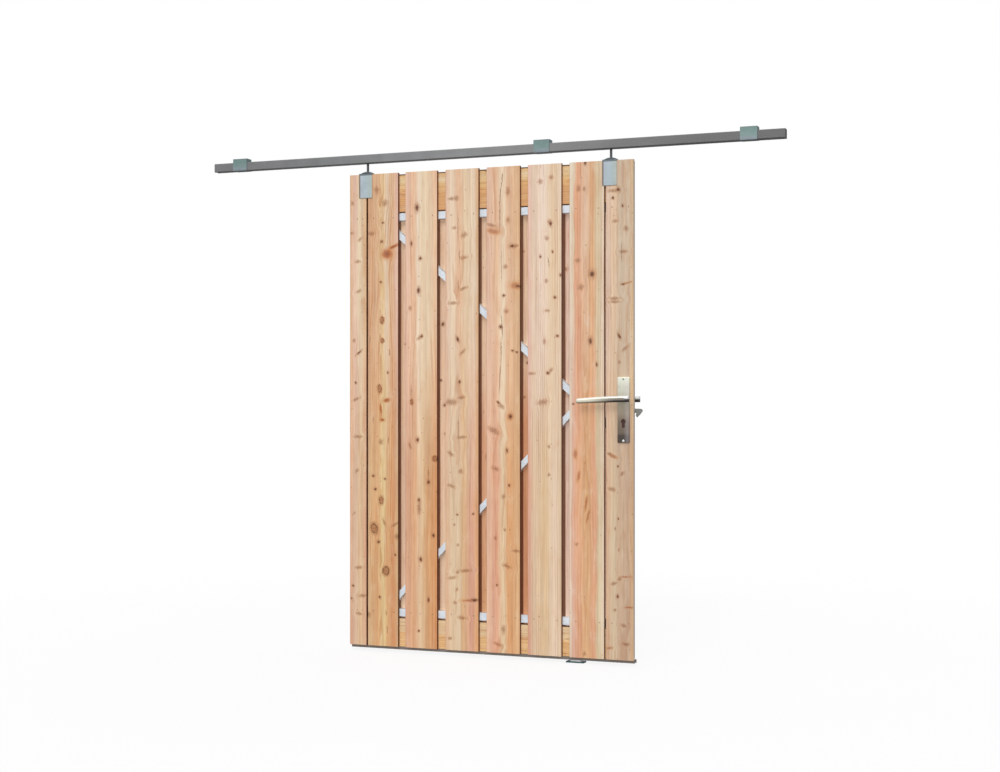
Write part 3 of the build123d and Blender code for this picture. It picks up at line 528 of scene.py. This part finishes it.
for i, b in BOARDS.items():
    n = nodes[f"front_board_{i}"]
    lo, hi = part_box(f"front_board_{i}")
    marks = list(KNOTS[i])
    mat = wood(f"board_{i}", lo.x * 1000, hi.x * 1000, seed=float(i), knots=marks, fit_up=FIT_UP[i], fit_low=FIT_LOW[i],
               outer={1: -1, 8: 1}.get(i), **b)
    n.data.materials.clear()
    n.data.materials.append(mat)

# the eight back boards share one node
_x = sorted((-823.5 + 369.5 - b, -823.5 + 369.5 - a) for a, b in
            ((-823.5, -749.0), (-742.0, -609.0), (-577.0, -439.0), (-403.0, -262.0), (-228.0, -88.5), (-56.0, 82.0), (114.3, 254.0), (261.0, 369.5)))
back_x = [(max(a, -811.5), min(b, 357.5)) for a, b in _x]
# painted light: fit_up and fit_low brighten the back boards to offset the shade they lie in deep inside the gaps
mat = wood("back_wood", 0.0, 1.0, upper=[(0.0, "peach"), (0.25, "tan"), (0.5, "orange"), (0.75, "tan"), (1.0, "pink")],
           lower=[(0.0, "tan"), (0.3, "orange"), (0.6, "salmon"), (1.0, "deep")], pith=(0, 30), spacing=9.5, tilt=22, seed=21.0,
           late=0.5, random_knots=0.62, pieces=back_x, fit_up=(1.07, 1.14, 1.22), fit_low=(1.07, 1.14, 1.22),
           gap_shade_strips=((-633.0, -616.0), (-463.0, -445.0), (-286.0, -266.0), (-112.5, -91.0), (58.0, 83.0)),
           warm=((-280.0, -226.0, -1050.0, (236, 196, 168), 0.7), (-106.0, -54.0, -950.0, (226, 176, 140), 0.8)))
nodes["back_boards"].data.materials.clear()
nodes["back_boards"].data.materials.append(mat)

for name, up, lw, seed in (("top_batten", "batten", "batten_low", 31.0), ("bottom_batten", "gold", "batten", 37.0)):
    lo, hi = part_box(name)
    mat = wood(name + "_wood", lo.z * 1000, hi.z * 1000, upper=[(0.0, lw), (0.45, lw), (0.6, up), (0.85, "gold"), (1.0, up)], lower=None,
               pith=((lo.z + hi.z) * 500 + 12, 12), spacing=7.5, tilt=16, seed=seed, late=0.85, wander=5, along="x", random_knots=0.5, cap=-106.5 if name == "top_batten" else None,
               fit_up=(1.06, 1.09, 1.16), fit_low=(1.05, 1.07, 1.16))
    nodes[name].data.materials.clear()
    nodes[name].data.materials.append(mat)
    nodes[name].data.materials[0].name = name + "_wood"


# ---------------------------------------------------------------- metals and plastics
def metal(name, color, rough=0.4, metallic=0.5, vary=0.06, scale=40.0, grain=None, under_shade=1.0, top=1.0, grad=None,
          speck=0.0, spangle=0.0, bump=0.0, bump_scale=2.0, specular=0.5, thread=0.0, bands=(), side=None):
    """Coated or bare metal. grain: (sx, sy, sz) stretch of brush marks. grad: (axis, lo, hi, stops).
    bands: (axis, from, to, softness, colour, amount) zones of another tone. side: tone of the faces along X."""
    t = Tree(name)
    P, N = t.mm()
    x, y, z = t.xyz(P)
    nx, ny, nz = t.xyz(N)
    if grad:
        ax = {"x": x, "y": y, "z": z, "nz": nz}[grad[0]]
        base = t.ramp(t.mr(ax, grad[1], grad[2], 0.0, 1.0, "LINEAR"), [(p, lin(c)) for p, c in grad[3]], "EASE")
    else:
        base = t.ramp(0.5, [(0.0, lin(color)), (1.0, lin(color))])
    n1 = t.noise(t.v("SCALE", P, s=1.0 / scale), 1.0, 4.0, 0.6)
    col = t.mix(t.mr(n1, 0.3, 0.7, 0.0, 1.0, "LINEAR"), t.mix(1.0, base, lin((int(255 * (1 - vary)),) * 3), "MULTIPLY"), base)
    h = t.m("MULTIPLY", n1, 0.2)
    rr = t.mr(n1, 0.3, 0.7, rough - 0.05, rough + 0.07, "LINEAR")
    if grain:
        g = t.noise(t.v("MULTIPLY", P, grain), 1.0, 3.0, 0.6)
        col = t.mix(t.mr(g, 0.3, 0.7, 0.0, 0.35, "LINEAR"), col, t.mix(1.0, col, lin((225, 225, 225)), "MULTIPLY"))
        rr = t.m("MULTIPLY_ADD", t.m("SUBTRACT", g, 0.5), 0.18, rr)
        h = t.m("MULTIPLY_ADD", g, 0.5, h)
    if spangle:
        vo = t.voronoi(t.v("SCALE", t.v("MULTIPLY_ADD", P, (1.0, 1.0, 1.0), (31.0, 17.0, 5.0)), s=1 / 11.0))
        sr = t.xyz(vo.outputs["Color"])[0]
        col = t.mix(t.m("MULTIPLY", sr, spangle), col, t.mix(1.0, col, lin((214, 220, 226)), "MULTIPLY"))
        rr = t.m("MULTIPLY_ADD", sr, 0.12, rr)
    if speck:
        vo = t.voronoi(t.v("SCALE", P, s=1 / 2.2))
        sr = t.xyz(vo.outputs["Color"])[1]
        col = t.mix(t.m("MULTIPLY", t.m("GREATER_THAN", sr, 0.8), speck), col, t.mix(1.0, col, lin((170, 170, 170)), "MULTIPLY"))
    if bump:
        b = t.noise(t.v("SCALE", P, s=1.0 / bump_scale), 1.0, 3.0, 0.6)
        h = t.m("MULTIPLY_ADD", b, bump, h)
    for ax, b0, b1, soft, bc, amount in bands:
        q = {"x": x, "y": y, "z": z, "nz": nz}[ax]
        f = t.m("MULTIPLY", t.mr(q, b0 - soft, b0 + soft, 0.0, amount), t.mr(q, b1 - soft, b1 + soft, 1.0, 0.0))
        col = t.mix(f, col, lin(bc))
    if side is not None:
        col = t.mix(t.mr(t.m("ABSOLUTE", nx), 0.5, 0.95, 0.0, 1.0), col, lin(side))
    # painted shade: faces that look down are darkened
    if under_shade != 1.0:
        f = t.mr(nz, -0.3, -0.9, 0.0, 1.0)
        col = t.mix(f, col, t.mix(1.0, col, (under_shade, under_shade, under_shade, 1.0), "MULTIPLY"))
    # painted light: faces that look up are multiplied by top
    if top != 1.0:
        f = t.mr(nz, 0.3, 0.9, 0.0, 1.0)
        col = t.mix(f, col, t.mix(1.0, col, (top, top, top, 1.0), "MULTIPLY"))
    if thread:
        w = t.new("ShaderNodeTexWave", wave_type="BANDS", bands_direction="Z", wave_profile="TRI")
        t.put(w.inputs["Vector"], P)
        w.inputs["Scale"].default_value = 0.314 / thread
        h = t.m("MULTIPLY_ADD", w.outputs["Fac"], 1.6, h)
        col = t.mix(t.mr(w.outputs["Fac"], 0.0, 0.5, 0.45, 0.0), col, t.mix(1.0, col, lin((120, 120, 122)), "MULTIPLY"))
    return t.finish(col, rr, metallic, t.bump(h, 0.00018, 0.8), specular)


def hanger_metal(name, x0, f=1.0):
    """Zinc-plated plate, darker along its left edge and in a band along its bottom edge, with painted shade in a dark
    band along the bend at its top.
    """
    stops = [(0.0, (112, 104, 98)), (0.07, (118, 112, 108)), (0.10, (186, 196, 204)), (0.5, (184, 200, 206)), (0.8, (186, 200, 198)), (1.0, (192, 198, 190))]
    stops = [(p, tuple(c * f for c in q)) for p, q in stops]
    return metal(name, None, 0.38, 0.3, 0.05, 30.0, grain=(1 / 2.5, 1 / 2.5, 1 / 60), under_shade=0.5, bump=0.15,
                 grad=("x", x0, x0 + 57.0, stops),
                 bands=(("z", -100.5, -80.0, 1.0, (92, 102, 106), 0.9), ("z", -200.0, -190.5, 0.6, (128, 124, 118), 0.7)))


# painted light falloff along the rail: lighter on the left, darker to the right
RAIL_LIGHT_FALLOFF = [(0.0, (126, 126, 127)), (0.245, (133, 134, 134)), (0.41, (142, 143, 143)), (0.552, (140, 140, 140)), (0.663, (130, 130, 130)),
         (0.77, (115, 115, 115)), (0.90, (106, 106, 106)), (1.0, (102, 102, 102))]


def lever_metal(name):
    """Polished bar with painted reflection: painted bright above and dark below, darkest near the neck."""
    t = Tree(name)
    P, N = t.mm()
    x, y, z = t.xyz(P)
    nx, ny, nz = t.xyz(N)
    up = t.mr(nz, -1.0, 1.0, 0.0, 1.0, "LINEAR")
    tip = t.ramp(up, [(0.0, lin((120, 112, 98))), (0.2, lin((158, 150, 130))), (0.38, lin((206, 200, 178))), (0.5, lin((232, 228, 208))), (0.75, lin((252, 250, 238))), (1.0, lin((250, 250, 246)))])
    neck = t.ramp(up, [(0.0, lin((44, 40, 38))), (0.36, lin((60, 55, 51))), (0.48, lin((98, 91, 84))), (0.55, lin((206, 200, 184))), (0.72, lin((252, 252, 248))), (1.0, lin((236, 242, 246)))])
    col = t.mix(t.mr(x, 190.0, 320.0, 0.0, 1.0), tip, neck)
    # painted reflection at the neck: dark below the lever's middle height, white above it
    bend = t.ramp(t.mr(z, -1016.0, -994.0, 0.0, 1.0, "LINEAR"), [(0.0, lin((54, 50, 48))), (0.40, lin((64, 60, 57))), (0.52, lin((150, 148, 142))), (0.6, lin((242, 242, 240))), (1.0, lin((255, 255, 255)))])
    col = t.mix(t.mr(x, 340.0, 356.0, 0.0, 0.95), col, bend)
    g = t.noise(t.v("MULTIPLY", P, (1 / 45, 1 / 1.4, 1 / 1.4)), 1.0, 3.0, 0.6)
    col = t.mix(t.mr(g, 0.35, 0.7, 0.0, 0.25, "LINEAR"), col, t.mix(1.0, col, lin((226, 224, 220)), "MULTIPLY"))
    rr = t.mr(g, 0.3, 0.7, 0.24, 0.36, "LINEAR")
    return t.finish(col, rr, 0.3, t.bump(g, 0.00008, 0.6), 0.5)


# painted shade: dark brown bands on the galvanised frame inside the narrow gaps between boards 1 and 2 and boards 7 and
# 8, where light does not reach
PAINTED_GAP_SHADE = (("x", 247.0, 266.0, 1.5, (88, 62, 44), 0.96), ("x", -755.0, -738.0, 1.5, (80, 56, 40), 0.96))
M = {
    "galvanised": metal("galvanised", (236, 243, 249), 0.42, 0.15, 0.05, 60.0, spangle=0.4, bump=0.3, bump_scale=9.0, bands=PAINTED_GAP_SHADE),
    "channel": metal("channel_steel", (138, 128, 120), 0.5, 0.25, 0.12, 30.0, grain=(1 / 60, 1 / 3, 1 / 3), bump=0.3),
    "rail": metal("rail_steel", None, 0.42, 0.3, 0.05, 70.0, grain=(1 / 90, 1 / 3, 1 / 3), under_shade=0.45, grad=("x", -1455.0, 945.0, RAIL_LIGHT_FALLOFF),
                  bump=0.2, bump_scale=2.5),
    "bracket": metal("bracket_steel", None, 0.45, 0.2, 0.08, 24.0,
                     grad=("z", -50.0, 0.0, [(0.0, (132, 144, 150)), (0.22, (136, 150, 154)), (0.34, (124, 148, 145)), (0.8, (118, 144, 140)), (1.0, (112, 136, 134))]),
                     bands=(("z", -2.6, 5.0, 0.8, (98, 108, 108), 0.75), ("z", -60.0, -48.6, 0.5, (96, 104, 108), 0.7)), side=(112, 134, 134), bump=0.3, bump_scale=2.4),
    "hanger_left": hanger_metal("hanger_left_steel", -779.5),
    "hanger_right": hanger_metal("hanger_right_steel", 247.5, 0.95),
    # painted highlight: the hanger caps are painted dark below and lighter towards their tops, round the rods
    "cap": metal("cap_steel", None, 0.34, 0.35, 0.08, 8.0, grad=("z", -92.0, -82.5, [(0.0, (86, 92, 96)), (0.5, (112, 120, 124)), (1.0, (150, 158, 162))]), bump=0.2),
    "rod": metal("rod_steel", (92, 95, 98), 0.35, 0.5, 0.1, 12.0, thread=1.5),
    "nut": metal("nut_steel", (96, 100, 104), 0.35, 0.5, 0.12, 6.0, bump=0.3),
    "trolley": metal("trolley_steel", (120, 122, 124), 0.35, 0.6, 0.1, 9.0, bump=0.2),
    # painted reflection: the handle plates are painted bright cream at the top and dark brown at the bottom, with a
    # faint pale painted highlight near the lever's neck
    "stainless_plate": metal("stainless_plate", None, 0.34, 0.35, 0.03, 40.0, grain=(1 / 3, 1 / 3, 1 / 90),
                             grad=("z", -1171.0, -921.0, [(0.0, (78, 69, 61)), (0.10, (84, 74, 66)), (0.16, (120, 106, 92)), (0.3, (130, 115, 100)), (0.48, (165, 151, 132)),
                                                          (0.6, (182, 173, 152)), (0.7, (202, 198, 180)), (0.82, (226, 224, 206)), (1.0, (246, 248, 230))]),
                             bands=(("x", 340.0, 356.0, 9.0, (236, 226, 232), 0.18),)),
    "stainless_lever": lever_metal("stainless_lever"),
    "nickel": metal("nickel", (84, 56, 50), 0.3, 0.35, 0.06, 8.0, grain=(1 / 2, 1 / 9, 1 / 2)),
    "hook": metal("hook_steel", (140, 140, 135), 0.42, 0.3, 0.08, 10.0, grain=(1 / 14, 1 / 2, 1 / 2), bump=0.2),
    # painted shade on the lock case inside the gap between boards 7 and 8
    "case": metal("case_steel", (150, 150, 148), 0.45, 0.3, 0.08, 14.0, spangle=0.3, bands=(("x", 236.0, 266.0, 2.0, (92, 66, 48), 0.96),)),
    "face": metal("face_steel", (186, 180, 168), 0.32, 0.4, 0.05, 14.0, grain=(1 / 2, 1 / 2, 1 / 26)),
    "fin": metal("guide_plastic", (250, 252, 252), 0.45, 0.0, 0.03, 9.0, bump=0.3, speck=0.1),
    "base": metal("guide_base", (70, 96, 100), 0.45, 0.2, 0.1, 16.0, bump=0.3),
    "rubber": metal("buffer_rubber", (92, 92, 93), 0.75, 0.0, 0.15, 5.0, speck=0.3, bump=0.5),
    "screw": metal("screw_steel", (158, 126, 98), 0.4, 0.3, 0.1, 3.0),
    # painted reflection: the lower plate screws are painted bright, the upper ones dark
    "plate_screw_glint": metal("plate_screw_glint", None, 0.25, 0.4, 0.05, 3.0, grad=("z", -1171.0, -921.0, [(0.0, (250, 248, 240)), (0.4, (250, 248, 240)), (0.6, (120, 116, 100)), (1.0, (120, 116, 100))])),
}
USE = {
    "rail": "rail", "rail_stop_left": "rubber", "rail_stop_right": "rubber", "rail_bracket_left": "bracket", "rail_bracket_middle": "bracket",
    "rail_bracket_right": "bracket", "floor_guide_plate": "base", "floor_guide_fin": "fin", "frame_top_bar": "galvanised",
    "frame_bottom_bar": "galvanised", "frame_stile_left": "galvanised", "frame_stile_right": "galvanised", "frame_brace_upper": "galvanised",
    "frame_brace_lower": "galvanised", "guide_channel": "channel", "hanger_left": "hanger_left", "hanger_right": "hanger_right", "hanger_rod_left": "rod",
    "hanger_rod_right": "rod", "hanger_rod_nuts": "nut", "hanger_back_nuts": "nut", "hanger_caps": "cap", "trolley_left": "trolley", "trolley_right": "trolley",
    "lock_case": "case", "lock_face_plate": "face", "lock_cylinder": "nickel", "hook_pin": "hook", "hook_bolt": "hook",
    "handle_plate_front": "stainless_plate", "handle_plate_back": "stainless_plate", "lever_front": "stainless_lever",
    "lever_back": "stainless_lever", "lever_spindle": "trolley",
}
for n, k in USE.items():
    nodes[n].data.materials.clear()
    nodes[n].data.materials.append(M[k])


# ---------------------------------------------------------------- added pieces
def new_object(name, bm, mat, body, smooth=35.0):
    me = bpy.data.meshes.new(name)
    bmesh.ops.recalc_face_normals(bm, faces=bm.faces)
    bm.to_mesh(me)
    bm.free()
    o = bpy.data.objects.new(name, me)
    bpy.context.scene.collection.objects.link(o)
    me.materials.append(mat)
    me.shade_smooth()
    me.set_sharp_from_angle(angle=math.radians(smooth))
    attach(o, body)
    return o


def lathe(bm, centre, axis, profile, seg=20, star=None):
    """Revolve (radius, height) points round axis at centre. star: radii index -> lobed recess."""
    axis = Vector(axis).normalized()
    side = axis.orthogonal().normalized()
    up = axis.cross(side)
    rings = []
    for k, (r, h) in enumerate(profile):
        ring = []
        if r < 1e-7:
            ring = [bm.verts.new(Vector(centre) + axis * h)]
        else:
            for j in range(seg):
                a = 2 * math.pi * j / seg
                rr = r
                if star and k in star:
                    rr = r * (1.0 + 0.22 * math.cos(6 * a))
                ring.append(bm.verts.new(Vector(centre) + (side * math.cos(a) + up * math.sin(a)) * rr + axis * h))
        rings.append(ring)
    for r0, r1 in zip(rings, rings[1:]):
        for j in range(seg):
            a, b = r0[j % len(r0)], r0[(j + 1) % len(r0)]
            c, d = r1[(j + 1) % len(r1)], r1[j % len(r1)]
            vs = []
            for q in (a, b, c, d):
                if q not in vs:
                    vs.append(q)
            if len(vs) > 2:
                bm.faces.new(vs)


def screw(bm, x, y, z, out, r=2.5, h=0.3):
    """A countersunk head with a lobed recess; out is the direction that it faces along Y."""
    mm = 0.001
    prof = [(r * 0.9, -0.6), (r, -0.1), (r, h * 0.5), (r * 0.86, h), (r * 0.5, h * 1.05), (r * 0.44, h * 1.0), (r * 0.36, -0.35), (0.0, -0.5)]
    lathe(bm, (x * mm, y * mm, z * mm), (0, out, 0), [(a * mm, b * mm) for a, b in prof], 24, star=(4, 5, 6))


bm = bmesh.new()
for i in range(1, 9):
    lo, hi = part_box(f"front_board_{i}")
    x0, x1 = lo.x * 1000, hi.x * 1000
    xs = [x0 + 25, x1 - 20]
    if i == 1:
        xs = [x0 + 34, x1 - 18]
    for z in (-274.5, -1856.5):
        for x in xs:
            screw(bm, x + random.uniform(-1.5, 1.5), -18.0, z + random.uniform(-2, 2), -1)
new_object("front_screws", bm, M["screw"], "leaf")
bm = bmesh.new()
for a, b in back_x:
    for z in (-274.5, -1863.5):
        for x in (a + 20, b - 20):
            screw(bm, x + random.uniform(-1.5, 1.5), 44.0, z + random.uniform(-2, 2), 1)
new_object("back_screws", bm, M["screw"], "leaf")

# handle plate fixings
bm = bmesh.new()
for z in (-929.5, -1163.5):
    for y, out in ((-26.0, -1), (52.0, 1)):
        screw(bm, 332.0, y, z, out, 3.6 if z > -1000 else 4.6, 0.7)
new_object("plate_screws", bm, M["plate_screw_glint"], "leaf")

# ---------------------------------------------------------------- floor, world and light
t = Tree("floor_pale")
P, N = t.mm()
d = t.v("LENGTH", P)
fn = t.noise(t.v("SCALE", P, s=1 / 900.0), 1.0, 4.0, 0.6)
fcol = t.mix(fn, lin((240, 240, 240)), lin((247, 247, 247)))
t.finish(fcol, 0.9, 0.0, None, 0.1)
tr = t.new("ShaderNodeBsdfTransparent")
ms = t.new("ShaderNodeMixShader")
t.put(ms.inputs[0], t.mr(d, 1200.0, 4200.0, 0.84, 1.0))
t.t.links.new(t.bsdf.outputs[0], ms.inputs[1])
t.t.links.new(tr.outputs[0], ms.inputs[2])
t.t.links.new(ms.outputs[0], t.out.inputs[0])
bm = bmesh.new()
bmesh.ops.create_grid(bm, x_segments=24, y_segments=24, size=9.0)
me = bpy.data.meshes.new("floor")
bm.to_mesh(me)
bm.free()
floor = bpy.data.objects.new("floor", me)
floor.location = (-0.2, 0.0, cad_lo.z - 0.0005)
bpy.context.scene.collection.objects.link(floor)
me.materials.append(t.mat)
floor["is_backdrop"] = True

world = bpy.data.worlds.new("studio")
world.use_nodes = True
wt = world.node_tree
wt.nodes.clear()
wo = wt.nodes.new("ShaderNodeOutputWorld")
bg_a = wt.nodes.new("ShaderNodeBackground")
bg_b = wt.nodes.new("ShaderNodeBackground")
mixw = wt.nodes.new("ShaderNodeMixShader")
lp = wt.nodes.new("ShaderNodeLightPath")
tc = wt.nodes.new("ShaderNodeTexCoord")
sx = wt.nodes.new("ShaderNodeSeparateXYZ")
mr = wt.nodes.new("ShaderNodeMapRange")
rp = wt.nodes.new("ShaderNodeValToRGB")
wt.links.new(tc.outputs["Generated"], sx.inputs[0])
wt.links.new(sx.outputs[2], mr.inputs[0])
mr.inputs[1].default_value = -1.0
mr.inputs[2].default_value = 1.0
wt.links.new(mr.outputs[0], rp.inputs[0])
cr = rp.color_ramp
cr.elements[0].position, cr.elements[0].color = 0.0, (0.30, 0.30, 0.31, 1)
cr.elements[1].position, cr.elements[1].color = 1.0, (0.78, 0.79, 0.82, 1)
cr.elements.new(0.47).color = (0.34, 0.34, 0.35, 1)
cr.elements.new(0.55).color = (0.52, 0.52, 0.53, 1)
wt.links.new(rp.outputs[0], bg_a.inputs[0])
bg_a.inputs[1].default_value = 1.0
bg_b.inputs[0].default_value = (1, 1, 1, 1)
bg_b.inputs[1].default_value = 1.0
wt.links.new(lp.outputs["Is Camera Ray"], mixw.inputs[0])
wt.links.new(bg_a.outputs[0], mixw.inputs[1])
wt.links.new(bg_b.outputs[0], mixw.inputs[2])
wt.links.new(mixw.outputs[0], wo.inputs[0])
bpy.context.scene.world = world


def sun(name, strength, angle, azimuth, elevation, color=(1, 1, 1), shadow=True):
    """azimuth in degrees from the gate's front, positive to the right; elevation above the floor."""
    l = bpy.data.lights.new(name, "SUN")
    l.energy = strength
    l.angle = math.radians(angle)
    l.color = color
    l.use_shadow = shadow
    o = bpy.data.objects.new(name, l)
    a, e = math.radians(azimuth), math.radians(elevation)
    towards = Vector((math.sin(a) * math.cos(e), -math.cos(a) * math.cos(e), math.sin(e)))
    o.rotation_euler = towards.to_track_quat("Z", "Y").to_euler()
    bpy.context.scene.collection.objects.link(o)


sun("key", 0.85, 32.0, 8.0, 34.0, (1.0, 0.995, 0.985))
sun("fill", 1.10, 40.0, 2.0, 28.0, (1.0, 1.0, 1.0), shadow=False)

lo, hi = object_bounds()
